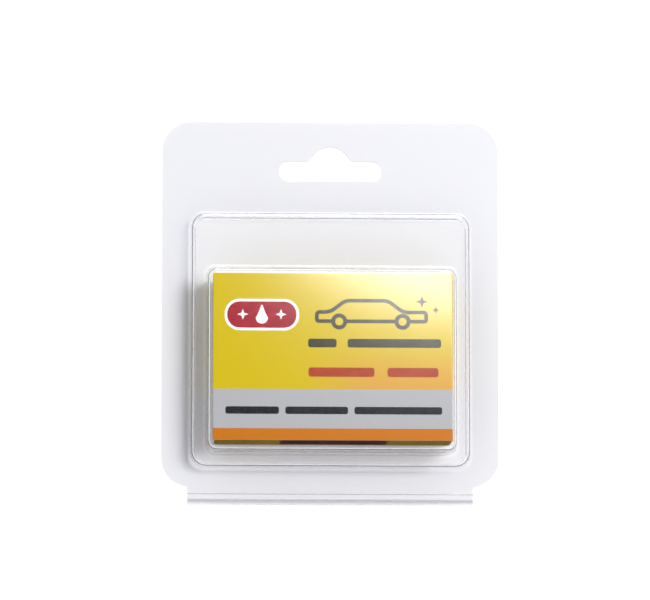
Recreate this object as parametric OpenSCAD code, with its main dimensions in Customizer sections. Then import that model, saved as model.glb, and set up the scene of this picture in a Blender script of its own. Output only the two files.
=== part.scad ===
// Clay bar for car paint in its retail pack: a clear thermoformed clamshell with a hang
// slot, and inside it a tuck-end carton that holds the wrapped clay and its leaflet.
// The pack lies on its back: +X right, +Y towards the hang slot, +Z out of the front.
// The origin is below the middle of the pack, on the surface that it lies on.

/* [Clear sheet] */
// Thickness of the clear sheet that both shells are formed from
sheet_t = 0.4; // [0.3:0.05:0.5]
// Gap between the two flanges when the pack is closed
flange_gap = 0.05; // [0.02:0.01:0.1]

/* [Flange] */
// Width of the flange
flange_w = 105; // [100:1:115]
// Height of the flange, without the hinge strip
flange_h = 114.6; // [112:0.2:120]
// Radius of the flange's four corners
flange_r = 9; // [5:0.5:12]

/* [Hinge] */
// Width of the hinge strip along the bottom edge
hinge_w = 88.8; // [80:0.2:92]
// How far the hinge strip stands below the flange
hinge_h = 5.7; // [5:0.1:7]
// Radius of the rolled fold that the front shell turns about
fold_r = 0.8; // [0.6:0.05:0.8]
// Width of the raised rib next to the fold
rib_w = 3.8; // [3.4:0.1:4.2]
// Height of that rib above the back of the pack
rib_z = 1.6; // [1.3:0.05:1.7]

/* [Hang slot] */
// Length of the straight part of the hang slot
slot_w = 32; // [30:0.5:34]
// Height of the straight part of the hang slot
slot_h = 6.4; // [6:0.1:7]
// Height of the bump above the straight part
slot_bump_h = 4.6; // [4:0.1:5]
// Height of the slot's lower edge above the bottom of the hinge strip
slot_y = 101.7; // [101:0.1:104]

/* [Tray] */
// Width of the wide outer tray at its foot
tray_w = 87.4; // [86:0.2:90]
// Height of the tray's near edge above the bottom of the hinge strip
tray_y = 11.0; // [10.5:0.1:11.5]
// Length of the tray from its near edge to its far edge
tray_l = 80.2; // [80:0.2:84]
// How high the tray stands above the back of the pack
tray_z = 7.5; // [7:0.1:8.5]
// Radius of the tray's corners
tray_r = 4.6; // [4:0.1:6]

/* [Pocket] */
// Width of the pocket's front face
pocket_w = 76.6; // [76.6:0.1:78]
// Height of the pocket's near edge above the bottom of the hinge strip
pocket_y = 15.4; // [15:0.1:15.6]
// Length of the pocket's front face
pocket_l = 55.9; // [55.8:0.1:57]
// How high the pocket stands above the back of the pack
pocket_z = 20; // [20:0.1:21]
// Radius of the pocket's corners
pocket_r = 2.7; // [2:0.1:2.7]
// Width of the bevel round the pocket's front face
pocket_bevel = 0.9; // [0.6:0.1:0.9]
// Lean of the pocket's far wall, in degrees, which lets it swing clear of the carton
far_lean = 10; // [9:0.5:12]
// Lean of the pocket's other walls, in degrees
wall_lean = 3; // [2:0.5:5]

/* [Plug] */
// How high the back shell's plug stands, which fits inside the tray
plug_z = 2.0; // [1.5:0.1:2.2]
// Gap all round between the plug and the tray
plug_gap = 0.6; // [0.5:0.05:0.8]

/* [Carton] */
// Width of the carton
carton_w = 74.2; // [73.5:0.1:74.2]
// Height of the carton, along the hang direction
carton_h = 51.9; // [51.4:0.1:51.9]
// Depth of the carton
carton_d = 16.5; // [16:0.1:16.5]
// Thickness of the carton's board
board_t = 0.45; // [0.35:0.05:0.5]
// Height of the carton's near end above the bottom of the hinge strip
carton_y = 18.2; // [18:0.1:18.3]
// How far the carton lies to the right of the middle
carton_x = 0.15; // [0:0.05:0.15]
// Length of the lip that tucks in behind the front panel
tuck_l = 12; // [9:0.5:13]
// Length of the four dust flaps
dust_l = 15; // [12:0.5:17]
// Width of the glue flap
glue_w = 11; // [8:0.5:13]

/* [Contents] */
// Width of the clay bar
clay_w = 67; // [60:0.5:67]
// Height of the clay bar
clay_h = 45; // [40:0.5:45]
// Depth of the clay bar
clay_d = 13; // [12:0.1:13]
// Thickness of the film round the clay
film_t = 0.15; // [0.1:0.05:0.2]
// Gap between the film and the clay
film_gap = 0.1; // [0.05:0.05:0.2]
// How far the film's crimped end seals stand out
seal_l = 2.2; // [1:0.1:2.4]
// Thickness of one layer of the leaflet
paper_t = 0.15; // [0.1:0.05:0.2]

/* [Hidden] */
$fn = 64;

// Sides of the circles that the tapered forms are hulled from
hull_fn = 40;
// Thickness of the discs that a tapered form is hulled from
disc_t = 0.001;
// Reach of a cutter past the face that it cuts
past = 1;
// Clearance between pieces of board that lie against each other
lay_gap = 0.05;

flange_y = hinge_h;
front_z = sheet_t + flange_gap;
// Lean of the tray's four walls, in degrees
tray_lean = 5;
pack_l = hinge_h + flange_h;
// The fold's axis runs along X at this height and this distance from the bottom edge
fold_y = fold_r;
fold_z = fold_r;
// Where the back shell's sheet meets the round of the fold
fold_foot_y = fold_y + sqrt(pow(fold_r, 2) - pow(fold_z - sheet_t, 2));

clear_sheet = [0.86, 0.89, 0.92, 0.35];
board_yellow = [0.89, 0.77, 0.05];
board_grey = [0.78, 0.77, 0.74];
clay_blue = [0.28, 0.48, 0.66];

carton_z = plug_z + lay_gap;
// The room inside the carton's four panels
inner_w = carton_w - 2 * board_t;
inner_z0 = carton_z + board_t;
clay_y = carton_y + carton_h / 2;
film_off = film_gap + film_t;
clay_z = inner_z0 + lay_gap + film_off;

// Everything is laid out from the bottom edge of the pack, and moved so that the origin is
// below the pack's middle
module in_pack() {
    translate([0, -pack_l / 2, 0]) children();
}

// ---- outlines and tapered forms ----

// A rectangle with round corners, centred in X, from y0 and of length l
module rounded(w, l, r, y0 = 0) {
    translate([-w / 2 + r, y0]) square([w - 2 * r, l]);
    translate([-w / 2, y0 + r]) square([w, l - 2 * r]);
    for (x = [-w / 2 + r, w / 2 - r], y = [y0 + r, y0 + l - r])
        translate([x, y]) circle(r);
}

// A thin rounded plate, which hull() joins into a tapered form
module disc(w, l, r, y0, z) {
    translate([0, 0, z]) linear_extrude(disc_t)
        for (x = [-w / 2 + r, w / 2 - r], y = [y0 + r, y0 + l - r])
            translate([x, y]) circle(r, $fn = hull_fn);
}

// The tray: it tapers from its foot up to its flat top. inset moves every face inwards
module tray_form(foot_z, inset = 0) {
    top_z = tray_z - inset;
    shrink = (tray_z - front_z) * tan(tray_lean);
    hull() {
        disc(tray_w - 2 * inset, tray_l - 2 * inset, tray_r - inset, tray_y + inset, foot_z);
        disc(tray_w - 2 * (shrink + inset), tray_l - 2 * (shrink + inset),
            tray_r - inset, tray_y + shrink + inset, top_z - disc_t);
    }
}

// The pocket: wide at its foot, with a far wall that leans more than the others
module pocket_form(foot_z, inset = 0) {
    top_z = pocket_z - inset;
    rise = pocket_z - foot_z;
    side = rise * tan(wall_lean);
    far = rise * tan(far_lean);
    r = pocket_r - inset;
    w = pocket_w - 2 * inset;
    l = pocket_l - 2 * inset;
    y = pocket_y + inset;
    b = pocket_bevel;
    hull() {
        disc(w + 2 * side, l + side + far, r, y - side, foot_z);
        disc(w, l, r, y, top_z - b);
        disc(w - 2 * b, l - 2 * b, r - b, y + b, top_z - disc_t);
    }
}

// The plug: a low raised panel that fills the tray's mouth
module plug_form(foot_z, inset = 0) {
    edge = sheet_t + plug_gap + inset;
    top_z = plug_z - inset;
    hull() {
        disc(tray_w - 2 * edge, tray_l - 2 * edge, tray_r - edge, tray_y + edge, foot_z);
        disc(tray_w - 2 * (edge + 0.3), tray_l - 2 * (edge + 0.3),
            tray_r - edge, tray_y + edge + 0.3, top_z - disc_t);
    }
}

// The hang slot: a straight slot with a domed bump in the middle of its upper edge
module slot_outline() {
    end_r = 2.8;
    dome_r = 5.6;
    bump_base = 13.8;
    bump_neck = 7.8;
    bump_rise = 3.3;
    rounded(slot_w, slot_h, end_r, slot_y);
    translate([0, slot_y + slot_h]) {
        translate([0, slot_bump_h - dome_r]) circle(dome_r);
        polygon([[-bump_base / 2, -0.1], [bump_base / 2, -0.1],
            [bump_neck / 2, bump_rise], [-bump_neck / 2, bump_rise]]);
    }
}

module flange(z) {
    translate([0, 0, z]) linear_extrude(sheet_t)
        rounded(flange_w, flange_h, flange_r, flange_y);
}

module slot_cut() {
    translate([0, 0, -past]) linear_extrude(3 * past + sheet_t) slot_outline();
}

// ---- clear shells ----

module clamshell_back() {
    overlap = 1;
    color(clear_sheet) difference() {
        union() {
            flange(0);
            translate([-hinge_w / 2, fold_foot_y, 0])
                cube([hinge_w, hinge_h + overlap - fold_foot_y, sheet_t]);
            plug_form(0);
        }
        plug_form(-past, sheet_t);
        slot_cut();
    }
}

// The strip between the flange and the fold, with its raised rib, as a section across it
module rib_section() {
    start_y = 2 * fold_r + 0.1;
    ramp = 0.6;
    z0 = front_z;
    polygon([
        [hinge_h + 1, z0], [rib_w, z0], [rib_w - ramp, rib_z - sheet_t],
        [start_y, rib_z - sheet_t], [start_y, rib_z],
        [rib_w - ramp + 0.3, rib_z], [rib_w + 0.3, z0 + sheet_t], [hinge_h + 1, z0 + sheet_t]
    ]);
}

module clamshell_front() {
    color(clear_sheet) difference() {
        union() {
            flange(front_z);
            rotate([90, 0, 90]) translate([0, 0, -hinge_w / 2])
                linear_extrude(hinge_w) rib_section();
            tray_form(front_z);
            pocket_form(tray_z - sheet_t);
        }
        tray_form(front_z - past, sheet_t);
        pocket_form(tray_z - 2 * sheet_t, sheet_t);
        slot_cut();
    }
}

// The rolled fold along the bottom edge
module living_hinge() {
    color(clear_sheet) translate([-hinge_w / 2, fold_y, fold_z])
        rotate([0, 90, 0]) cylinder(r = fold_r, h = hinge_w);
}

// ---- carton ----

// Places a piece of the carton: X from its middle, Y from its near end, Z from its back
module in_carton() {
    translate([carton_x, carton_y, carton_z]) children();
}

module carton_sleeve() {
    color(board_yellow) in_carton() difference() {
        translate([-carton_w / 2, 0, 0]) cube([carton_w, carton_h, carton_d]);
        translate([-inner_w / 2, -past, board_t])
            cube([inner_w, carton_h + 2 * past, carton_d - 2 * board_t]);
    }
}

// Glued inside the left side panel, clear of the dust flaps
module carton_glue_flap() {
    end_gap = 2 * board_t + 0.3;
    color(board_grey) in_carton()
        translate([-inner_w / 2, end_gap, board_t + lay_gap])
            cube([board_t, carton_h - 2 * end_gap, glue_w]);
}

// One end panel with the lip that tucks in behind the front panel. The near end is drawn,
// and the far end is its mirror image
module closure() {
    side_gap = 0.15;
    w = inner_w - 2 * side_gap;
    depth = carton_d - 2 * board_t - 2 * lay_gap;
    lip_r = 4;
    color(board_yellow) {
        translate([-w / 2, 0, board_t + lay_gap]) cube([w, board_t, depth]);
        translate([0, 0, board_t + lay_gap + depth - board_t]) linear_extrude(board_t) {
            translate([-w / 2, 0]) square([w, tuck_l - lip_r]);
            rounded(w, tuck_l, lip_r);
        }
    }
}

module carton_bottom_closure() {
    in_carton() closure();
}

module carton_top_closure() {
    in_carton() translate([0, carton_h, 0]) mirror([0, 1, 0]) closure();
}

// A dust flap at the near end. side is -1 at the left and 1 at the right
module dust_flap(side) {
    corner = 3;
    inset_z = 2 * board_t + lay_gap;
    depth = carton_d - 2 * inset_z - board_t;
    x0 = inner_w / 2 - lay_gap;
    color(board_grey) translate([0, 2 * board_t + lay_gap, inset_z])
        rotate([90, 0, 0]) linear_extrude(board_t)
            polygon([[side * x0, 0], [side * x0, depth],
                [side * (x0 - dust_l + corner), depth], [side * (x0 - dust_l), depth - corner],
                [side * (x0 - dust_l), corner], [side * (x0 - dust_l + corner), 0]]);
}

module dust_flap_bottom(side) {
    in_carton() dust_flap(side);
}

module dust_flap_top(side) {
    in_carton() translate([0, carton_h, 0]) mirror([0, 1, 0]) dust_flap(side);
}

// ---- contents ----

module clay_block(grow = 0) {
    r = 2.5 + grow;
    translate([carton_x, 0, clay_z - grow]) linear_extrude(clay_d + 2 * grow)
        rounded(clay_w + 2 * grow, clay_h + 2 * grow, r, clay_y - clay_h / 2 - grow);
}

module clay_bar() {
    color(clay_blue) clay_block();
}

// A closed film sleeve with a crimped seal along each short end
module clay_film_wrap() {
    seal_z = clay_z + clay_d / 2;
    bite = 0.05;
    color(clear_sheet) {
        difference() {
            clay_block(film_off);
            clay_block(film_gap);
        }
        for (side = [0, 1])
            mirror([side, 0, 0])
                translate([clay_w / 2 + film_off - bite + (side == 0 ? carton_x : -carton_x),
                    clay_y - clay_h / 2 + 2, seal_z])
                    cube([seal_l, clay_h - 4, 2 * film_t]);
    }
}

// A strip of paper folded twice, as one zigzag section
module instruction_leaflet() {
    w = clay_w - 3;
    l = clay_h - 3;
    z0 = clay_z + clay_d + film_off + lay_gap;
    step = 2 * paper_t;
    x0 = carton_x - w / 2;
    color("white") translate([0, clay_y + l / 2, z0]) rotate([90, 0, 0]) linear_extrude(l)
        translate([x0, 0]) {
            for (layer = [0:2]) translate([0, layer * step]) square([w, paper_t]);
            translate([w - paper_t, 0]) square([paper_t, step + paper_t]);
            translate([0, step]) square([paper_t, step + paper_t]);
        }
}

in_pack() clamshell_back();
in_pack() clamshell_front();
in_pack() living_hinge();
in_pack() carton_sleeve();
in_pack() carton_glue_flap();
in_pack() carton_top_closure();
in_pack() carton_bottom_closure();
in_pack() dust_flap_top(-1);  // dust_flap_top_left
in_pack() dust_flap_top(1);  // dust_flap_top_right
in_pack() dust_flap_bottom(-1);  // dust_flap_bottom_left
in_pack() dust_flap_bottom(1);  // dust_flap_bottom_right
in_pack() clay_film_wrap();
in_pack() clay_bar();
in_pack() instruction_leaflet();
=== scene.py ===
"""Clay bar in its clear hang pack: the pieces that are seen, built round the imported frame.

Lengths are in metres. The pack lies on its back: +X is right, +Y is up the pack, and +Z
comes out of its front. A ring is (half width, near Y, far Y) of a form with round corners.
"""

import math

import bmesh
import bpy
from mathutils import Matrix, Vector


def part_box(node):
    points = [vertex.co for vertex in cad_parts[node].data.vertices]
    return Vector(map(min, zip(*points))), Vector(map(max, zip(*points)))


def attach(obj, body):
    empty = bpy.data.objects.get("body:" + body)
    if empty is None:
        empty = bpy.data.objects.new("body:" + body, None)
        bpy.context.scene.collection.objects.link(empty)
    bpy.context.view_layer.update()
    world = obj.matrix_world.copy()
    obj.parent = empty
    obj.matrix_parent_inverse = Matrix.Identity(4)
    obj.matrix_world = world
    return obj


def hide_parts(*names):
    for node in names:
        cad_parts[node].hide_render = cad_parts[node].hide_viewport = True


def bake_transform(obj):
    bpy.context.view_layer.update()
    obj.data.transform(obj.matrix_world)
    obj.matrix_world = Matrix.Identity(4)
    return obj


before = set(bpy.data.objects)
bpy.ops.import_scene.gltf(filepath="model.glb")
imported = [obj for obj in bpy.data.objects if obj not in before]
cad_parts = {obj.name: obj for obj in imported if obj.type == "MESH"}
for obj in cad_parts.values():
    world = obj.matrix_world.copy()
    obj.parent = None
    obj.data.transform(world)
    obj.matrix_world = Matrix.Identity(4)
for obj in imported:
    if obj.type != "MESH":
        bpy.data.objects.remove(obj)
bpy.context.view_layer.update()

MM = 0.001
TINY = 0.02 * MM

# ---- sizes from the frame ----
BACK_LO, BACK_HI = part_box("clamshell_back")
FRONT_LO, FRONT_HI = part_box("clamshell_front")
FOLD_LO, FOLD_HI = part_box("living_hinge")
SLEEVE_LO, SLEEVE_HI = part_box("carton_sleeve")
BOTTOM = FOLD_LO.y

# ---- clear sheet ----
SHEET_T = 0.4 * MM
FLANGE_Z = FRONT_LO.z + SHEET_T
FLANGE_NEAR = 5.7 * MM
FLANGE_R = 9 * MM
TRAY_R = 4.6 * MM
TRAY_Z = 7.5 * MM
POCKET_R = 2.7 * MM
POCKET_Z = FRONT_HI.z
PLUG_R = 3.6 * MM
PLUG_Z = BACK_HI.z
STRIP_HALF = FOLD_HI.x
RIB_Z = 1.6 * MM
ROLL_R = 0.8 * MM
ROLL_BACK_END = 1.49 * MM
ROLL_FRONT_END = 1.7 * MM
SLOT_BUMP_HALF = 6.9 * MM
SLOT_BUMP_RISE = 4.6 * MM


def above(height):
    """The Y of a height above the pack's bottom edge."""
    return BOTTOM + height


def grown(ring, by, by_far=None):
    """A ring moved outwards on every side, and by another amount on its far side."""
    half, near, far = ring
    return half + by, near - by, far + (by if by_far is None else by_far)


TRAY_FOOT = (43.7 * MM, above(11.0 * MM), above(91.2 * MM))
TRAY_TOP = grown(TRAY_FOOT, -(TRAY_Z - FRONT_LO.z) * math.tan(math.radians(5)))
POCKET_TOP = (38.3 * MM, above(15.4 * MM), above(71.3 * MM))
POCKET_FOOT = grown(
    POCKET_TOP,
    (POCKET_Z - TRAY_Z) * math.tan(math.radians(3)),
    (POCKET_Z - TRAY_Z) * math.tan(math.radians(10)),
)
PLUG_FOOT = grown(TRAY_FOOT, -1.0 * MM)
PLUG_TOP = grown(PLUG_FOOT, -0.3 * MM)


# ---- modelling by hand ----


def select_only(piece):
    bpy.ops.object.select_all(action="DESELECT")
    piece.select_set(True)
    bpy.context.view_layer.objects.active = piece


def edit(piece):
    """Opens one piece in edit mode, with nothing else selected."""
    select_only(piece)
    bpy.ops.object.mode_set(mode="EDIT")


def close():
    bpy.ops.object.mode_set(mode="OBJECT")


def pick(piece, kind, test):
    """Selects the points, edges or faces whose every corner passes the test."""
    bpy.ops.mesh.select_mode(type=kind)
    bpy.ops.mesh.select_all(action="DESELECT")
    mesh = bmesh.from_edit_mesh(piece.data)
    parts = {"VERT": mesh.verts, "EDGE": mesh.edges, "FACE": mesh.faces}[kind]
    for part in parts:
        corners = [part] if kind == "VERT" else part.verts
        if all(test(corner.co) for corner in corners):
            part.select_set(True)
    bmesh.update_edit_mesh(piece.data)


def pick_along(piece, axis):
    """Selects the edges that run more than a millimetre along one axis, 0 for X or 1 for Y."""
    bpy.ops.mesh.select_mode(type="EDGE")
    bpy.ops.mesh.select_all(action="DESELECT")
    for part in bmesh.from_edit_mesh(piece.data).edges:
        start, end = part.verts
        if abs(start.co[axis] - end.co[axis]) > MM:
            part.select_set(True)
    bmesh.update_edit_mesh(piece.data)


def within(ring, at, radius=0.0):
    """True for a point on or inside a ring whose corners have this radius."""
    half, near, far = ring
    past_x = max(abs(at.x) - half + radius, 0.0)
    past_y = max(near + radius - at.y, at.y - far + radius, 0.0)
    if radius:
        return math.hypot(past_x, past_y) < radius + TINY
    return max(past_x, past_y) < TINY


def flat_sheet(name, x0, x1, y0, y1, z):
    """A flat four-sided sheet."""
    bpy.ops.object.select_all(action="DESELECT")
    bpy.ops.mesh.primitive_plane_add(size=1, location=((x0 + x1) / 2, (y0 + y1) / 2, z))
    sheet = bpy.context.object
    sheet.name = sheet.data.name = name
    sheet.scale = (x1 - x0, y1 - y0, 1)
    bpy.ops.object.transform_apply(location=True, rotation=False, scale=True)
    return sheet


def round_corners(sheet, radius, turns=12, test=None):
    """Rounds the corners of a flat sheet, or only those that pass the test."""
    edit(sheet)
    pick(sheet, "VERT", test or (lambda at: True))
    bpy.ops.mesh.bevel(offset=radius, segments=turns, affect="VERTICES")
    close()


def rounded_sheet(name, ring, z, radius, turns=12):
    half, near, far = ring
    sheet = flat_sheet(name, -half, half, near, far, z)
    round_corners(sheet, radius, turns)
    return sheet


def cut_across(xs):
    """Cuts the sheet that is open in edit mode along Y at each X."""
    for x in xs:
        bpy.ops.mesh.select_all(action="SELECT")
        bpy.ops.mesh.bisect(plane_co=(x, 0, 0), plane_no=(1, 0, 0))


def raise_tab(sheet, middle, half_base, half_top, rise):
    """Raises part of the upper edge of a flat sheet into a tab, all as one face."""
    edit(sheet)
    cut_across((middle - half_base, middle + half_base))
    top = max(corner.co.y for corner in bmesh.from_edit_mesh(sheet.data).verts)
    pick(sheet, "EDGE", lambda at: at.y > top - TINY and abs(at.x - middle) < half_base + TINY)
    bpy.ops.mesh.extrude_edges_move(TRANSFORM_OT_translate={"value": (0, rise, 0)})
    bpy.ops.transform.resize(value=(half_top / half_base, 1, 1), center_override=(middle, 0, 0))
    bpy.ops.mesh.select_mode(type="FACE")
    bpy.ops.mesh.select_all(action="SELECT")
    bpy.ops.mesh.dissolve_faces()
    close()


def outline_only(sheet, inner_test=None):
    """Takes the face out of a flat sheet and leaves its outline."""
    edit(sheet)
    bpy.ops.mesh.select_mode(type="FACE")
    bpy.ops.mesh.select_all(action="SELECT")
    bpy.ops.mesh.delete(type="ONLY_FACE")
    if inner_test:
        pick(sheet, "EDGE", inner_test)
        bpy.ops.mesh.delete(type="EDGE")
    close()


def draw_ring(old, new, rise):
    """Draws the selected ring out into a wall, to a new size and height."""
    old_middle = (old[1] + old[2]) / 2
    new_middle = (new[1] + new[2]) / 2
    scale = (new[0] / old[0], (new[2] - new[1]) / (old[2] - old[1]), 1)
    move = (0, new_middle - old_middle, rise)
    bpy.ops.mesh.extrude_edges_move(TRANSFORM_OT_translate={"value": move})
    bpy.ops.transform.resize(value=scale, center_override=(0, new_middle, 0))


def draw_half_turn(roll, turns, way):
    """Draws the selected edge up through half a turn, towards +Y for way 1 or -Y for -1."""
    angle = -math.pi / 2
    for _turn in range(turns):
        new = angle + way * math.pi / turns
        move = (
            0,
            roll * (math.cos(new) - math.cos(angle)),
            roll * (math.sin(new) - math.sin(angle)),
        )
        bpy.ops.mesh.extrude_edges_move(TRANSFORM_OT_translate={"value": move})
        angle = new


def upward_area(piece, test=lambda face: True):
    """The area of the faces that pass the test, counted as negative where they face down."""
    return sum(face.normal.z * face.area for face in piece.data.polygons if test(face))


def join(pieces):
    """Joins pieces into the first of them."""
    bpy.ops.object.select_all(action="DESELECT")
    for piece in pieces:
        piece.select_set(True)
    bpy.context.view_layer.objects.active = pieces[0]
    bpy.ops.object.join()
    return pieces[0]


def merge_and_turn_out(piece):
    """Merges doubled points and turns every face outwards."""
    edit(piece)
    bpy.ops.mesh.select_all(action="SELECT")
    bpy.ops.mesh.remove_doubles(threshold=0.002 * MM)
    bpy.ops.mesh.normals_make_consistent(inside=False)
    close()


def face_up(piece):
    """Turns an open sheet so that its largest faces point up."""
    merge_and_turn_out(piece)
    if upward_area(piece) < 0:
        edit(piece)
        bpy.ops.mesh.select_all(action="SELECT")
        bpy.ops.mesh.flip_normals()
        close()


def apply_modifier(piece, kind, **settings):
    modifier = piece.modifiers.new(kind.lower(), kind)
    for name, value in settings.items():
        setattr(modifier, name, value)
    select_only(piece)
    bpy.ops.object.modifier_apply(modifier=modifier.name)


def give_wall(piece, thickness, side=-1):
    """Gives a sheet its wall: below its faces for side -1, and above them for side 1."""
    apply_modifier(piece, "SOLIDIFY", thickness=thickness, offset=side, use_even_offset=True)


def smooth(piece, angle=40):
    """Smooth shading, with the flats kept flat by weighted normals."""
    select_only(piece)
    bpy.ops.object.shade_smooth_by_angle(angle=math.radians(angle))
    apply_modifier(piece, "WEIGHTED_NORMAL", keep_sharp=True, weight=100)


def paint(piece, *materials):
    """Gives a piece these materials in place of any that it has."""
    piece.data.materials.clear()
    for material in materials:
        piece.data.materials.append(material)


# ---- clear shells ----


def hang_slot_outline(z):
    """The outline of the hang slot, with its domed bump."""
    half, near, far = 16 * MM, above(101.7 * MM), above(108.1 * MM)
    slot = rounded_sheet("hang_slot_outline", (half, near, far), z, 2.8 * MM, turns=8)
    raise_tab(slot, 0, SLOT_BUMP_HALF, 2.8 * MM, SLOT_BUMP_RISE)
    round_corners(slot, 2.6 * MM, 8, lambda at: at.y > far + SLOT_BUMP_RISE - TINY)
    round_corners(
        slot,
        0.8 * MM,
        4,
        lambda at: abs(at.y - far) < TINY and abs(abs(at.x) - SLOT_BUMP_HALF) < TINY,
    )
    outline_only(slot)
    return slot


def flange_outline(z):
    """The flange's outline, with a point where each end of the hinge strip meets it."""
    ring = (FRONT_HI.x, above(FLANGE_NEAR), FRONT_HI.y)
    sheet = rounded_sheet("flange_outline", ring, z, FLANGE_R, turns=16)
    edit(sheet)
    cut_across((-STRIP_HALF, STRIP_HALF))
    close()
    outline_only(sheet, lambda at: abs(abs(at.x) - STRIP_HALF) < TINY)
    return sheet


def fill_flat(shell, z):
    """Fills the flat between all the open outlines that lie at one height."""
    edit(shell)
    bpy.ops.mesh.select_mode(type="EDGE")
    bpy.ops.mesh.select_all(action="DESELECT")
    bpy.ops.mesh.select_non_manifold(
        extend=False,
        use_wire=True,
        use_boundary=True,
        use_multi_face=False,
        use_non_contiguous=False,
        use_verts=False,
    )
    mesh = bmesh.from_edit_mesh(shell.data)
    for part in mesh.edges:
        if any(abs(corner.co.z - z) > TINY for corner in part.verts):
            part.select_set(False)
    bmesh.update_edit_mesh(shell.data)
    bpy.ops.mesh.fill(use_beauty=True)
    close()


def fill_flange(shell, z):
    """Adds the flange's outline and the hang slot, and fills the flat between them."""
    shell = join([shell, flange_outline(z), hang_slot_outline(z)])
    fill_flat(shell, z)
    return shell


def draw_strip(shell, steps):
    """Draws the hinge strip from the flange's near edge through (height up, Z) steps."""
    edit(shell)
    start = above(FLANGE_NEAR)
    pick(
        shell,
        "EDGE",
        lambda at: at.y < start + 0.06 * MM and abs(at.x) < STRIP_HALF + TINY,
    )
    y, z = start, steps[0][1]
    for height, new_z in steps:
        move = (0, above(height) - y, new_z - z)
        bpy.ops.mesh.extrude_edges_move(TRANSFORM_OT_translate={"value": move})
        y, z = above(height), new_z
        bpy.ops.transform.resize(value=(1, 0, 1), center_override=(0, y, 0))
    close()


def soften_ring(shell, test, width, turns=5):
    """Rounds the edge that runs round one ring of a shell."""
    edit(shell)
    pick(shell, "EDGE", test)
    bpy.ops.mesh.bevel(offset=width, segments=turns, affect="EDGES", clamp_overlap=True)
    close()


def front_shell():
    """The front shell: flange, tray and pocket, drawn from the pocket's face outwards."""
    shell = rounded_sheet("front_shell", POCKET_TOP, POCKET_Z, POCKET_R)
    edit(shell)
    pick(shell, "EDGE", lambda at: True)
    draw_ring(POCKET_TOP, POCKET_FOOT, TRAY_Z - POCKET_Z)
    draw_ring(POCKET_FOOT, grown(POCKET_FOOT, 1.2 * MM), 0)
    close()
    tray_flat = grown(TRAY_TOP, -1.45 * MM)
    tray = rounded_sheet("tray", tray_flat, TRAY_Z, TRAY_R - 0.2 * MM, turns=16)
    outline_only(tray)
    edit(tray)
    pick(tray, "EDGE", lambda at: True)
    draw_ring(tray_flat, TRAY_TOP, 0)
    draw_ring(TRAY_TOP, TRAY_FOOT, FLANGE_Z - TRAY_Z)
    draw_ring(TRAY_FOOT, grown(TRAY_FOOT, 2.2 * MM), 0)
    close()
    shell = join([shell, tray])
    fill_flat(shell, TRAY_Z)
    shell = fill_flange(shell, FLANGE_Z)
    draw_strip(
        shell,
        [
            (4.5 * MM, FLANGE_Z),
            (4.1 * MM, FLANGE_Z),
            (3.35 * MM, RIB_Z),
            (ROLL_FRONT_END, RIB_Z),
        ],
    )
    face_up(shell)
    soften_ring(shell, lambda at: abs(at.z - POCKET_Z) < TINY, 1.7 * MM, 7)
    soften_ring(
        shell,
        lambda at: abs(at.z - TRAY_Z) < TINY and within(POCKET_FOOT, at),
        1.1 * MM,
    )
    soften_ring(
        shell,
        lambda at: abs(at.z - TRAY_Z) < TINY
        and not within(grown(TRAY_TOP, -0.7 * MM), at, TRAY_R - 0.7 * MM),
        1.3 * MM,
    )
    soften_ring(shell, lambda at: abs(at.z - FLANGE_Z) < TINY and within(TRAY_FOOT, at), 1.1 * MM)
    give_wall(shell, SHEET_T)
    smooth(shell)
    return shell


def back_shell():
    """The back shell: flange, strip and the low plug that stands in the tray's mouth."""
    z = SHEET_T
    shell = rounded_sheet("back_shell", PLUG_TOP, PLUG_Z, PLUG_R)
    edit(shell)
    pick(shell, "EDGE", lambda at: True)
    draw_ring(PLUG_TOP, PLUG_FOOT, z - PLUG_Z)
    draw_ring(PLUG_FOOT, grown(PLUG_FOOT, 1.6 * MM), 0)
    close()
    shell = fill_flange(shell, z)
    draw_strip(shell, [(ROLL_BACK_END, z)])
    face_up(shell)
    soften_ring(shell, lambda at: abs(at.z - PLUG_Z) < TINY, 0.7 * MM, 4)
    soften_ring(shell, lambda at: abs(at.z - z) < TINY and within(PLUG_FOOT, at), 0.5 * MM, 4)
    give_wall(shell, SHEET_T)
    smooth(shell)
    return shell


def hinge_fold():
    """The sheet rolled round between the two strips."""
    axis_y = above(ROLL_R)
    start = above(ROLL_BACK_END)
    fold = flat_sheet("hinge_fold", -STRIP_HALF, STRIP_HALF, start, start + MM, 0)
    outline_only(fold)
    edit(fold)
    pick(fold, "EDGE", lambda at: at.y > start + TINY)
    bpy.ops.mesh.delete(type="VERT")
    bpy.ops.mesh.select_all(action="SELECT")
    bpy.ops.mesh.extrude_edges_move(TRANSFORM_OT_translate={"value": (0, axis_y - start, 0)})
    draw_half_turn(ROLL_R, 14, -1)
    reach = above(ROLL_FRONT_END) - axis_y
    bpy.ops.mesh.extrude_edges_move(TRANSFORM_OT_translate={"value": (0, reach, 0)})
    close()
    merge_and_turn_out(fold)
    lean = upward_area(fold, lambda face: face.center.z > ROLL_R)
    give_wall(fold, SHEET_T, -1 if lean > 0 else 1)
    smooth(fold)
    return fold


# ---- materials ----


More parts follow.
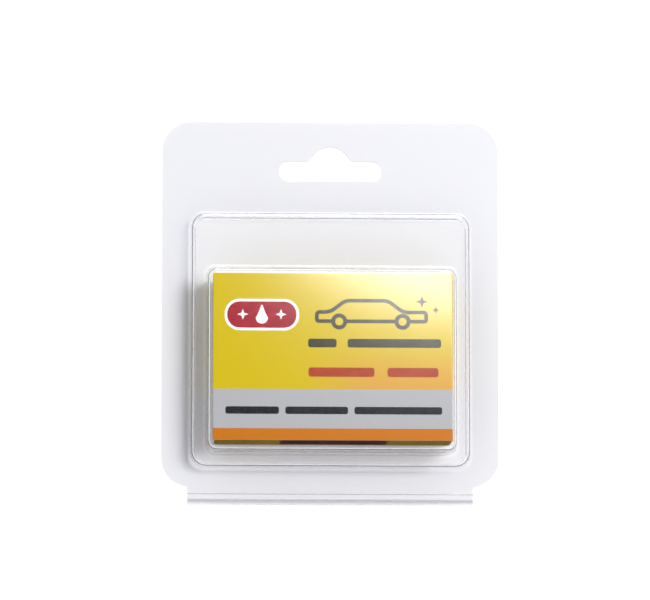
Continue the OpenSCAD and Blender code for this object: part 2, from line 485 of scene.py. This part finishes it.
class Tree:
    """A short way to write one node tree."""

    def __init__(self, data):
        data.use_nodes = True
        self.nodes = data.node_tree.nodes
        self.links = data.node_tree.links

    def add(self, kind, feed=None, **settings):
        """A new node. Each input in feed gets a link or a constant value."""
        node = self.nodes.new(kind)
        for name, value in settings.items():
            setattr(node, name, value)
        for key, value in (feed or {}).items():
            if isinstance(value, bpy.types.NodeSocket):
                self.links.new(value, node.inputs[key])
            else:
                node.inputs[key].default_value = value
        return node

    def math(self, operation, *values):
        return self.add("ShaderNodeMath", dict(enumerate(values)), operation=operation).outputs[0]

    def span(self, value, low, high, to_low=0.0, to_high=1.0):
        """Maps a value smoothly from one span to another."""
        feed = {0: value, 1: low, 2: high, 3: to_low, 4: to_high}
        return self.add("ShaderNodeMapRange", feed, interpolation_type="SMOOTHSTEP").outputs[0]

    def mix(self, share, first, second):
        """Mixes two colours. Its colour inputs are 6 and 7, and its colour output is 2."""
        feed = {0: share, 6: first, 7: second}
        return self.add("ShaderNodeMix", feed, data_type="RGBA").outputs[2]

    def place(self):
        return self.add("ShaderNodeTexCoord").outputs["Object"]

    def noise(self, scale, detail=2.0, vector=None):
        feed = {"Vector": vector or self.place(), "Scale": scale, "Detail": detail}
        return self.add("ShaderNodeTexNoise", feed).outputs[0]

    def bump(self, height, strength, distance):
        feed = {"Height": height, "Strength": strength, "Distance": distance}
        return self.add("ShaderNodeBump", feed).outputs[0]


def linear(red, green, blue):
    """A colour as seen, from 0 to 255, as a linear one with alpha 1."""

    def one(value):
        share = value / 255
        return share / 12.92 if share <= 0.04045 else ((share + 0.055) / 1.055) ** 2.4

    return (one(red), one(green), one(blue), 1.0)


def new_material(name):
    """A new material, with its tree and its shader."""
    material = bpy.data.materials.new(name)
    tree = Tree(material)
    shader = tree.nodes["Principled BSDF"]
    return material, tree, shader


def clear_sheet_material(name, colour, roughness):
    """Clear formed sheet with soft waves. Lamp and bounced light pass it."""
    material, tree, shader = new_material(name)
    shader.inputs["Base Color"].default_value = colour
    shader.inputs["Transmission Weight"].default_value = 1.0
    shader.inputs["Roughness"].default_value = roughness
    shader.inputs["IOR"].default_value = 1.5
    waves = tree.noise(30.0, 0.0)
    normal = tree.bump(waves, 0.2, 0.3 * MM)
    tree.links.new(normal, shader.inputs["Normal"])
    facing = tree.add("ShaderNodeLayerWeight", {"Blend": 0.5}).outputs["Facing"]
    steep = tree.span(facing, 0.35, 1.0)
    tint = tree.mix(steep, (0.985, 0.985, 0.992, 1), (0.8, 0.8, 0.84, 1))
    lamp_side = tree.add("ShaderNodeBsdfTransparent", {"Color": tint})
    bounce_side = tree.add("ShaderNodeBsdfTransparent", {"Color": tint})
    path = tree.add("ShaderNodeLightPath")
    for_lamps = tree.add(
        "ShaderNodeMixShader",
        {0: path.outputs["Is Shadow Ray"], 1: shader.outputs[0], 2: lamp_side.outputs[0]},
    )
    for_bounces = tree.add(
        "ShaderNodeMixShader",
        {0: path.outputs["Is Diffuse Ray"], 1: for_lamps.outputs[0], 2: bounce_side.outputs[0]},
    )
    tree.links.new(for_bounces.outputs[0], tree.nodes["Material Output"].inputs["Surface"])
    return material


def board_material():
    """The uncoated side of the carton's board, grey-white with fibres."""
    material, tree, shader = new_material("uncoated_board")
    fibres = tree.noise(900.0, 6.0)
    cloud = tree.noise(60.0, 2.0)
    pale = tree.mix(tree.span(cloud, 0.35, 0.65), linear(205, 202, 194), linear(188, 184, 176))
    colour = tree.mix(tree.span(fibres, 0.45, 0.7), pale, linear(170, 165, 156))
    tree.links.new(colour, shader.inputs["Base Color"])
    shader.inputs["Roughness"].default_value = 0.85
    normal = tree.bump(fibres, 0.3, 0.03 * MM)
    tree.links.new(normal, shader.inputs["Normal"])
    return material


YELLOW = linear(189, 166, 0)
PEACH = linear(200, 140, 68)
STRIPE_GREY = linear(161, 161, 163)
BAND_ORANGE = linear(180, 104, 16)
ORANGE_TOP = 3.6 * MM
STRIPE_TOP = 15.8 * MM


def printed_board(tree, shader, colour):
    """The finish of all the printed faces: a smooth lacquer over ink on board."""
    fibres = tree.noise(700.0, 4.0)
    waves = tree.noise(45.0, 1.0)
    height = tree.math("MULTIPLY_ADD", waves, 6.0, fibres)
    tree.links.new(tree.bump(height, 0.12, 0.02 * MM), shader.inputs["Normal"])
    tree.links.new(colour, shader.inputs["Base Color"])
    rough = tree.span(fibres, 0.3, 0.7, 0.34, 0.46)
    tree.links.new(rough, shader.inputs["Roughness"])
    shader.inputs["Specular IOR Level"].default_value = 0.0
    shader.inputs["Coat Weight"].default_value = 0.8
    shader.inputs["Coat Roughness"].default_value = 0.18


def carton_print_material():
    """Yellow over a grey stripe over an orange band, with an orange glow at lower right."""
    material, tree, shader = new_material("carton_print")
    place = tree.place()
    axes = tree.add("ShaderNodeSeparateXYZ", {0: place})
    height = tree.math("SUBTRACT", axes.outputs["Y"], SLEEVE_LO.y)
    across = tree.span(axes.outputs["X"], SLEEVE_LO.x + 24 * MM, SLEEVE_LO.x + 52 * MM)
    down = tree.span(height, 33 * MM, STRIPE_TOP)
    glow = tree.math("MULTIPLY", tree.math("MULTIPLY", across, down), 0.75)
    yellow = tree.mix(glow, YELLOW, PEACH)
    in_stripe = tree.math("LESS_THAN", height, STRIPE_TOP)
    in_band = tree.math("LESS_THAN", height, ORANGE_TOP)
    colour = tree.mix(in_band, tree.mix(in_stripe, yellow, STRIPE_GREY), BAND_ORANGE)
    printed_board(tree, shader, colour)
    return material


def end_print_material(name, full, thin):
    """A matt print in two close shades of one colour. The near end gets it in darkened colours, as
    painted shade.
    """
    material, tree, shader = new_material(name)
    cloud = tree.noise(40.0, 2.0)
    colour = tree.mix(tree.span(cloud, 0.3, 0.7), full, thin)
    tree.links.new(colour, shader.inputs["Base Color"])
    fibres = tree.noise(700.0, 4.0)
    tree.links.new(tree.bump(fibres, 0.2, 0.02 * MM), shader.inputs["Normal"])
    shader.inputs["Roughness"].default_value = 0.8
    shader.inputs["Specular IOR Level"].default_value = 0.1
    return material


def ink_material(name, red, green, blue):
    """One printed ink, with the faint mottle of ink on board."""
    material, tree, shader = new_material(name)
    mottle = tree.span(tree.noise(500.0, 3.0), 0.35, 0.7)
    full = linear(red, green, blue)
    thin = tuple(min(1.0, channel * 1.25 + 0.004) for channel in full[:3]) + (1.0,)
    colour = tree.mix(mottle, full, thin)
    printed_board(tree, shader, colour)
    return material


# ---- carton ----

BOARD_T = 0.45 * MM


def block(name, lo, hi):
    """A six-sided block between two corners."""
    bpy.ops.object.select_all(action="DESELECT")
    middle = (lo + hi) / 2
    bpy.ops.mesh.primitive_cube_add(size=1, location=middle)
    piece = bpy.context.object
    piece.name = piece.data.name = name
    piece.scale = hi - lo
    bpy.ops.object.transform_apply(location=True, rotation=False, scale=True)
    return piece


def carton_wall():
    """The carton's four panels, with rounded creases along their length."""
    wall = block("carton_wall", SLEEVE_LO, SLEEVE_HI)
    edit(wall)
    for end in (SLEEVE_LO.y, SLEEVE_HI.y):
        pick(wall, "FACE", lambda at: abs(at.y - end) < TINY)
        bpy.ops.mesh.delete(type="ONLY_FACE")
    pick_along(wall, 1)
    bpy.ops.mesh.bevel(offset=0.35 * MM, segments=4, affect="EDGES")
    close()
    merge_and_turn_out(wall)
    give_wall(wall, BOARD_T)
    smooth(wall)
    return wall


def paint_outside(piece, printed, plain):
    """Print on the faces that lie on the outside of a piece, and plain board elsewhere."""
    paint(piece, printed, plain)
    lo = Vector(map(min, *(vertex.co for vertex in piece.data.vertices)))
    hi = Vector(map(max, *(vertex.co for vertex in piece.data.vertices)))
    middle = (lo + hi) / 2
    for face in piece.data.polygons:
        outward = face.normal.dot(face.center - middle) > 0
        along = abs(face.normal.y) > 0.5
        face.material_index = 0 if outward and not along else 1


def carton_end(name, node, outward):
    """One end panel with the rounded lip that tucks in behind the front panel."""
    lo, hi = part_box(node)
    outer_y = lo.y if outward < 0 else hi.y
    inner_y = hi.y if outward < 0 else lo.y
    end = flat_sheet(name, lo.x, hi.x, inner_y, outer_y, hi.z)
    round_corners(end, 4 * MM, 8, lambda at: abs(at.y - inner_y) < TINY)
    edit(end)
    pick(end, "EDGE", lambda at: abs(at.y - outer_y) < TINY)
    bpy.ops.mesh.extrude_edges_move(TRANSFORM_OT_translate={"value": (0, 0, lo.z - hi.z)})
    pick(end, "EDGE", lambda at: abs(at.y - outer_y) < TINY and at.z > hi.z - TINY)
    bpy.ops.mesh.bevel(offset=0.5 * MM, segments=5, affect="EDGES")
    close()
    merge_and_turn_out(end)
    give_wall(end, BOARD_T, -1 if upward_area(end) > 0 else 1)
    smooth(end)
    return end


# ---- printed marks ----

INK_T = 0.02 * MM
FACE_Z = SLEEVE_HI.z


def mark_sheet(name, x0, x1, y0, y1, layer=0):
    """A flat mark on the carton's face. Places are from the face's lower left corner."""
    left, low = SLEEVE_LO.x, SLEEVE_LO.y
    z = FACE_Z + layer * INK_T
    return flat_sheet(name, left + x0, left + x1, low + y0, low + y1, z)


def join_marks(name, marks, ink):
    """Joins flat marks into one piece of this name and gives them their ink."""
    whole = join(marks)
    whole.name = whole.data.name = name
    return lay_ink(whole, ink)


def lay_ink(mark, ink):
    """Gives a flat mark, which faces up, its thin layer of ink."""
    give_wall(mark, INK_T, 1)
    paint(mark, ink)
    return mark


def bar_line(name, mm_middle, mm_height, mm_spans, ink):
    """A line of plain bars with round ends, one for each (start, end) span in millimetres."""
    middle, height = mm_middle * MM, mm_height * MM
    bars = []
    for number, (start, end) in enumerate(mm_spans):
        low, high = middle - height / 2, middle + height / 2
        bar = mark_sheet(f"{name}_{number}", start * MM, end * MM, low, high)
        round_corners(bar, height * 0.3, 6)
        bars.append(bar)
    return join_marks(name, bars, ink)


def outline_band(mark, stroke):
    """Keeps only a band of one width along the inside of a flat mark's outline."""
    edit(mark)
    bpy.ops.mesh.select_mode(type="FACE")
    bpy.ops.mesh.select_all(action="SELECT")
    bpy.ops.mesh.inset(thickness=stroke, use_even_offset=True)
    bpy.ops.mesh.delete(type="FACE")
    close()


def disc(name, x, y, radius, layer, points=32):
    """A flat round mark. Its place is from the face's lower left corner."""
    at = (SLEEVE_LO.x + x, SLEEVE_LO.y + y, FACE_Z + layer * INK_T)
    bpy.ops.object.select_all(action="DESELECT")
    bpy.ops.mesh.primitive_circle_add(vertices=points, radius=radius, fill_type="NGON", location=at)
    bpy.ops.object.transform_apply(location=True, rotation=False, scale=False)
    mark = bpy.context.object
    mark.name = mark.data.name = name
    return mark


def droplet(name, x, y, radius, layer):
    """A drop: a disc whose top is drawn up to a point."""
    drop = disc(name, x, y, radius, layer)
    middle = SLEEVE_LO.y + y
    for vertex in drop.data.vertices:
        rise = max(0.0, (vertex.co.y - middle) / radius)
        vertex.co.y += 1.1 * radius * rise**3
        vertex.co.x += (SLEEVE_LO.x + x - vertex.co.x) * 0.55 * rise
    return drop


def sparkle(name, x, y, radius, layer):
    """A four-pointed star: a disc of eight points with every other point drawn in."""
    star = disc(name, x, y, radius, layer, points=8)
    centre = Vector((SLEEVE_LO.x + x, SLEEVE_LO.y + y, FACE_Z + layer * INK_T))
    edit(star)
    pick(star, "VERT", lambda at: min(abs(at.x - centre.x), abs(at.y - centre.y)) > radius / 4)
    bpy.ops.transform.resize(value=(0.36, 0.36, 1), center_override=centre)
    close()
    return star


def car_outline(olive, yellow):
    """A plain outline of a car seen from the side, with two wheels and two sparkles."""
    sill, waist, roof_rise = 36.4 * MM, 40.4 * MM, 3.6 * MM
    body = mark_sheet("car_body", 31.5 * MM, 66.5 * MM, sill, waist)
    left, low = SLEEVE_LO.x, SLEEVE_LO.y
    raise_tab(body, left + 47.5 * MM, 11.5 * MM, 6.8 * MM, roof_rise)
    roof = low + waist + roof_rise
    round_corners(body, 1.6 * MM, 6, lambda at: at.y > roof - TINY)
    round_corners(body, 1.4 * MM, 6, lambda at: abs(at.y - low - waist) < TINY)
    round_corners(body, 1.2 * MM, 6, lambda at: at.y < low + sill + TINY)
    outline_band(body, 1.15 * MM)
    lay_ink(body, olive)
    axles = ((39.0 * MM, "left"), (58.6 * MM, "right"))
    axle_y = 36.9 * MM
    wheels = [disc(f"wheel_{side}", x, axle_y, 2.5 * MM, 1) for x, side in axles]
    wheels = join_marks("car_wheels", wheels, olive)
    hubs = [disc(f"hub_{side}", x, axle_y, 1.25 * MM, 2) for x, side in axles]
    hubs = join_marks("car_hubs", hubs, yellow)
    stars = [sparkle("shine_large", 64.6 * MM, 43.2 * MM, 1.9 * MM, 0)]
    stars.append(sparkle("shine_small", 68.9 * MM, 40.6 * MM, 1.2 * MM, 0))
    return [body, wheels, hubs, join_marks("car_shine", stars, olive)]


def badge(red, white):
    """A plain red lozenge with a white rim, a white drop and two sparkles."""
    rim = mark_sheet("badge_rim", 3.6 * MM, 26.6 * MM, 34.0 * MM, 43.8 * MM)
    round_corners(rim, 4.6 * MM, 14)
    field = mark_sheet("badge_field", 4.4 * MM, 25.8 * MM, 34.8 * MM, 43.0 * MM, 1)
    round_corners(field, 3.9 * MM, 14)
    shapes = [droplet("badge_drop", 15.1 * MM, 38.0 * MM, 1.9 * MM, 2)]
    shapes.append(sparkle("badge_shine_left", 9.2 * MM, 39.0 * MM, 1.7 * MM, 2))
    shapes.append(sparkle("badge_shine_right", 21.0 * MM, 39.0 * MM, 1.7 * MM, 2))
    shapes = join_marks("badge_shapes", shapes, white)
    return [lay_ink(rim, white), lay_ink(field, red), shapes]


def end_bar(ink):
    """A dark red bar printed across the middle of the near end panel."""
    x0, x1 = SLEEVE_LO.x + 20.9 * MM, SLEEVE_LO.x + 54 * MM
    z0, z1 = SLEEVE_LO.z + 3.0 * MM, SLEEVE_HI.z - 1.0 * MM
    bar = flat_sheet("end_bar", x0, x1, z0, z1, 0)
    round_corners(bar, 1.5 * MM, 6)
    edit(bar)
    bpy.ops.mesh.select_all(action="SELECT")
    mesh = bmesh.from_edit_mesh(bar.data)
    for vertex in mesh.verts:
        vertex.co = (vertex.co.x, SLEEVE_LO.y, vertex.co.y)
    bmesh.update_edit_mesh(bar.data)
    close()
    return lay_ink(bar, ink)


# ---- what the carton holds ----


def clay_block():
    """The clay: a pressed block with soft edges and slightly uneven faces."""
    lo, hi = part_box("clay_bar")
    inset = Vector((0.15, 0.15, 0.15)) * MM
    clay = block("clay_block", lo + inset, hi - inset)
    edit(clay)
    bpy.ops.mesh.select_all(action="SELECT")
    bpy.ops.mesh.bevel(offset=2.4 * MM, segments=5, affect="EDGES", profile=0.5)
    close()
    apply_modifier(clay, "REMESH", mode="VOXEL", voxel_size=1.0 * MM, use_smooth_shade=True)
    apply_modifier(clay, "SMOOTH", iterations=6, factor=0.5)
    dents = bpy.data.textures.new("clay_dents", "CLOUDS")
    dents.noise_scale = 14 * MM
    apply_modifier(clay, "DISPLACE", texture=dents, strength=0.5 * MM, mid_level=0.75)
    smooth(clay)
    return clay


def clay_film():
    """The thin film round the clay, drawn together at both ends into flat seals."""
    lo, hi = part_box("clay_film_wrap")
    clay_lo, clay_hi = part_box("clay_bar")
    start = Vector((clay_lo.x - 0.1 * MM, lo.y, lo.z))
    stop = Vector((clay_hi.x + 0.1 * MM, hi.y, hi.z))
    film = block("clay_film", start, stop)
    middle = (start + stop) / 2
    edit(film)
    for x in (start.x, stop.x):
        pick(film, "FACE", lambda at: abs(at.x - x) < TINY)
        bpy.ops.mesh.delete(type="ONLY_FACE")
    pick_along(film, 0)
    bpy.ops.mesh.bevel(offset=2.0 * MM, segments=6, affect="EDGES")
    for x, end in ((start.x, lo.x), (stop.x, hi.x)):
        way = 1 if end > x else -1
        pick(film, "EDGE", lambda at: abs(at.x - x) < TINY)
        bpy.ops.mesh.extrude_edges_move(TRANSFORM_OT_translate={"value": (0.35 * MM * way, 0, 0)})
        bpy.ops.transform.resize(value=(1, 0.985, 0.8), center_override=(x, middle.y, middle.z))
        bpy.ops.mesh.extrude_edges_move(TRANSFORM_OT_translate={"value": (0.5 * MM * way, 0, 0)})
        bpy.ops.transform.resize(value=(1, 0.98, 0.05), center_override=(x, middle.y, middle.z))
        reach = abs(end - x) - 0.85 * MM
        bpy.ops.mesh.extrude_edges_move(TRANSFORM_OT_translate={"value": (reach * way, 0, 0)})
        bpy.ops.transform.resize(value=(1, 1, 0.6), center_override=(x, middle.y, middle.z))
    close()
    merge_and_turn_out(film)
    give_wall(film, 0.06 * MM)
    smooth(film, 60)
    return film


def folded_leaflet():
    """The leaflet: one strip of paper folded over once, with a round fold."""
    lo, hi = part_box("instruction_leaflet")
    paper_t = 0.12 * MM
    roll = (hi.z - lo.z - paper_t) / 2
    base = lo.z + paper_t / 2
    fold_y = hi.y - roll - paper_t
    sheet = flat_sheet("leaflet", lo.x, hi.x, lo.y, fold_y, base)
    edit(sheet)
    pick(sheet, "EDGE", lambda at: at.y > fold_y - TINY)
    draw_half_turn(roll, 10, 1)
    back_to = lo.y + 1.5 * MM - fold_y
    bpy.ops.mesh.extrude_edges_move(TRANSFORM_OT_translate={"value": (0, back_to, 0)})
    close()
    merge_and_turn_out(sheet)
    give_wall(sheet, paper_t, 0)
    smooth(sheet)
    return sheet


def clay_material():
    """Dense kneading clay: matt, faintly mottled, with fine grit."""
    material, tree, shader = new_material("detailing_clay")
    cloud = tree.noise(90.0, 4.0)
    colour = tree.mix(tree.span(cloud, 0.3, 0.7), linear(196, 142, 30), linear(178, 124, 24))
    tree.links.new(colour, shader.inputs["Base Color"])
    grit = tree.noise(1500.0, 6.0)
    tree.links.new(tree.bump(grit, 0.3, 0.05 * MM), shader.inputs["Normal"])
    shader.inputs["Roughness"].default_value = 0.6
    shader.inputs["Subsurface Weight"].default_value = 0.1
    shader.inputs["Subsurface Scale"].default_value = 1.0 * MM
    return material


def film_material():
    """Thin clear film with fine wrinkles."""
    material, tree, shader = new_material("clear_film")
    shader.inputs["Base Color"].default_value = (0.97, 0.975, 0.98, 1)
    shader.inputs["Transmission Weight"].default_value = 1.0
    shader.inputs["Roughness"].default_value = 0.12
    shader.inputs["IOR"].default_value = 1.45
    wrinkles = tree.noise(160.0, 5.0)
    tree.links.new(tree.bump(wrinkles, 0.7, 0.2 * MM), shader.inputs["Normal"])
    return material


def paper_material():
    """White paper with a fine grain."""
    material, tree, shader = new_material("leaflet_paper")
    fibres = tree.noise(1200.0, 6.0)
    colour = tree.mix(tree.span(fibres, 0.4, 0.7), linear(236, 235, 230), linear(222, 220, 213))
    tree.links.new(colour, shader.inputs["Base Color"])
    tree.links.new(tree.bump(fibres, 0.2, 0.02 * MM), shader.inputs["Normal"])
    shader.inputs["Roughness"].default_value = 0.9
    return material


def main():
    """Builds every piece. Gives back the printed ones and the clear ones, for the lamps."""
    clear = clear_sheet_material("clear_formed_sheet", (0.99, 0.992, 0.998, 1), 0.08)
    # The folded sheet's greyer colour is partly the real dulling of the bent sheet and partly
    # painted shade that darkens the fold.
    dulled_and_shaded_fold = clear_sheet_material("clear_folded_sheet_dulled_and_painted_shade", (0.84, 0.84, 0.86, 1), 0.16)
    board = board_material()
    face_print = carton_print_material()
    # The near end's amber print and its dark red bar are darkened into painted shade for the shade
    # that falls on that end; the far end keeps the face's yellow print.
    end_print_and_shade = end_print_material("end_amber_print_and_painted_shade", linear(134, 106, 4), linear(124, 98, 8))
    end_red_ink_and_shade = end_print_material("end_dark_red_ink_and_painted_shade", linear(62, 10, 4), linear(74, 16, 6))
    olive = ink_material("olive_black_ink", 48, 45, 22)
    black = ink_material("black_ink", 22, 24, 26)
    brick = ink_material("brick_red_ink", 148, 54, 18)
    red = ink_material("badge_red_ink", 142, 24, 38)
    white = ink_material("white_ink", 228, 226, 226)

    front = front_shell()
    paint(front, clear)
    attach(front, "lid")
    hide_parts("clamshell_front")

    back = back_shell()
    paint(back, clear)
    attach(back, "back")
    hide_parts("clamshell_back")

    fold = hinge_fold()
    paint(fold, dulled_and_shaded_fold)
    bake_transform(fold)
    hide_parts("living_hinge")

    wall = carton_wall()
    paint_outside(wall, face_print, board)
    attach(wall, "back")
    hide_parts("carton_sleeve")

    for name, node, outward, material in (
        ("carton_end_near", "carton_bottom_closure", -1, end_print_and_shade),
        ("carton_end_far", "carton_top_closure", 1, face_print),
    ):
        end = carton_end(name, node, outward)
        paint(end, material)
        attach(end, "back")
        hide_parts(node)

    marks = [end_bar(end_red_ink_and_shade), *badge(red, white), *car_outline(olive, face_print)]
    for name, middle, height, ink, spans in (
        ("bars_second", 30.15, 2.7, olive, ((29.4, 38.2), (41.6, 70.5))),
        ("bars_third", 21.1, 2.9, brick, ((29.5, 49.9), (53.9, 69.7))),
        ("bars_stripe", 9.2, 2.3, black, ((3.9, 20.4), (22.4, 41.7), (43.7, 70.8))),
    ):
        marks.append(bar_line(name, middle, height, spans, ink))
    for mark in marks:
        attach(mark, "back")

    for node in (
        "carton_glue_flap",
        "dust_flap_top_left",
        "dust_flap_top_right",
        "dust_flap_bottom_left",
        "dust_flap_bottom_right",
    ):
        paint(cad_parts[node], board)

    for piece, node, material, slot in (
        (clay_block(), "clay_bar", clay_material(), "clay"),
        (clay_film(), "clay_film_wrap", film_material(), "film"),
        (folded_leaflet(), "instruction_leaflet", paper_material(), "leaflet"),
    ):
        paint(piece, material)
        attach(piece, "back")
        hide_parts(node)

    return [wall, *marks], [front, back, fold]


printed, shells = main()


# ---- studio ----


def stage_floor():
    bpy.ops.object.select_all(action="DESELECT")
    bpy.ops.mesh.primitive_plane_add(size=6, location=(0, 0, -0.05 * MM))
    floor = bpy.context.object
    floor.name = floor.data.name = "studio_floor"
    material, _tree, shader = new_material("studio_white")
    shader.inputs["Base Color"].default_value = (0.9, 0.9, 0.9, 1)
    shader.inputs["Roughness"].default_value = 0.9
    shader.inputs["Specular IOR Level"].default_value = 0.0
    paint(floor, material)


def aim(thing, at, target):
    thing.location = at
    thing.rotation_euler = (Vector(target) - Vector(at)).to_track_quat("-Z", "Y").to_euler()


def area_light(name, at, target, size, power):
    """A white elliptical lamp, aimed at a point."""
    lamp = bpy.data.lights.new(name, "AREA")
    lamp.shape = "ELLIPSE"
    lamp.size, lamp.size_y = size
    lamp.energy = power
    holder = bpy.data.objects.new(name, lamp)
    bpy.context.scene.collection.objects.link(holder)
    aim(holder, at, target)
    return holder


def light_only(lamp, name, pieces, state="INCLUDE"):
    """Makes a lamp light only these pieces, or all but these for the state EXCLUDE."""
    chosen = bpy.data.collections.new(name)
    for piece in pieces:
        chosen.objects.link(piece)
    for row in chosen.collection_objects:
        row.light_linking.link_state = state
    lamp.light_linking.receiver_collection = chosen


def print_highlight(eye, pieces):
    """A small soft lamp that is mirrored, for the camera, at the upper right of the print."""
    spot = Vector((SLEEVE_HI.x - 17 * MM, SLEEVE_HI.y + 4.0 * MM, SLEEVE_HI.z))
    height = 0.3
    seen = (eye - spot).normalized()
    at = spot + height / seen.z * Vector((-seen.x, -seen.y, seen.z))
    lamp = area_light("print_softbox", at, spot, (0.085, 0.008), 0.27)
    light_only(lamp, "printed_pieces", pieces)


def studio_world():
    """A pale surround that is bright at the sides and dim overhead."""
    world = bpy.data.worlds.new("studio_world")
    bpy.context.scene.world = world
    tree = Tree(world)
    background = tree.nodes["Background"]
    place = tree.add("ShaderNodeTexCoord").outputs["Generated"]
    unit = tree.add("ShaderNodeVectorMath", {0: place}, operation="NORMALIZE").outputs[0]
    up = tree.add("ShaderNodeSeparateXYZ", {0: unit}).outputs["Z"]
    strength = tree.span(up, math.sin(math.radians(50)), math.sin(math.radians(74)), 0.9, 0.05)
    tree.links.new(strength, background.inputs["Strength"])
    background.inputs["Color"].default_value = (1, 1, 1, 1)


def camera():
    """A long lens, tilted a little to show the carton's near end."""
    distance = 1.75
    lean_x, lean_y = math.radians(2.4), math.radians(8)
    view_width = 0.2031
    target = Vector((-1.56 * MM, 4.24 * MM, 0))
    away = Vector((-math.tan(lean_x), -math.tan(lean_y), 1)).normalized()
    data = bpy.data.cameras.new("camera")
    data.sensor_width = 36
    data.lens = data.sensor_width * distance / view_width
    data.clip_start = 0.05
    eye = bpy.data.objects.new("camera", data)
    bpy.context.scene.collection.objects.link(eye)
    right = Vector((0, 1, 0)).cross(away).normalized()
    turn = Matrix((right, away.cross(right), away)).transposed()
    eye.matrix_world = Matrix.Translation(target + away * distance) @ turn.to_4x4()
    bpy.context.scene.camera = eye
    return eye


stage_floor()
studio_world()
key = area_light("key_softbox", (0.5, 0.17, 1.1), (0, 0, 0), (0.45, 0.45), 10.9)
light_only(key, "pieces_without_key", shells, "EXCLUDE")
far_light = area_light("far_softbox", (0.12, 0.78, 0.62), (0, 0, 0), (0.8, 0.6), 4.2)
light_only(far_light, "clear_pieces", shells)
eye = camera()
print_highlight(eye.location, printed)
bpy.context.scene.view_settings.view_transform = "Standard"
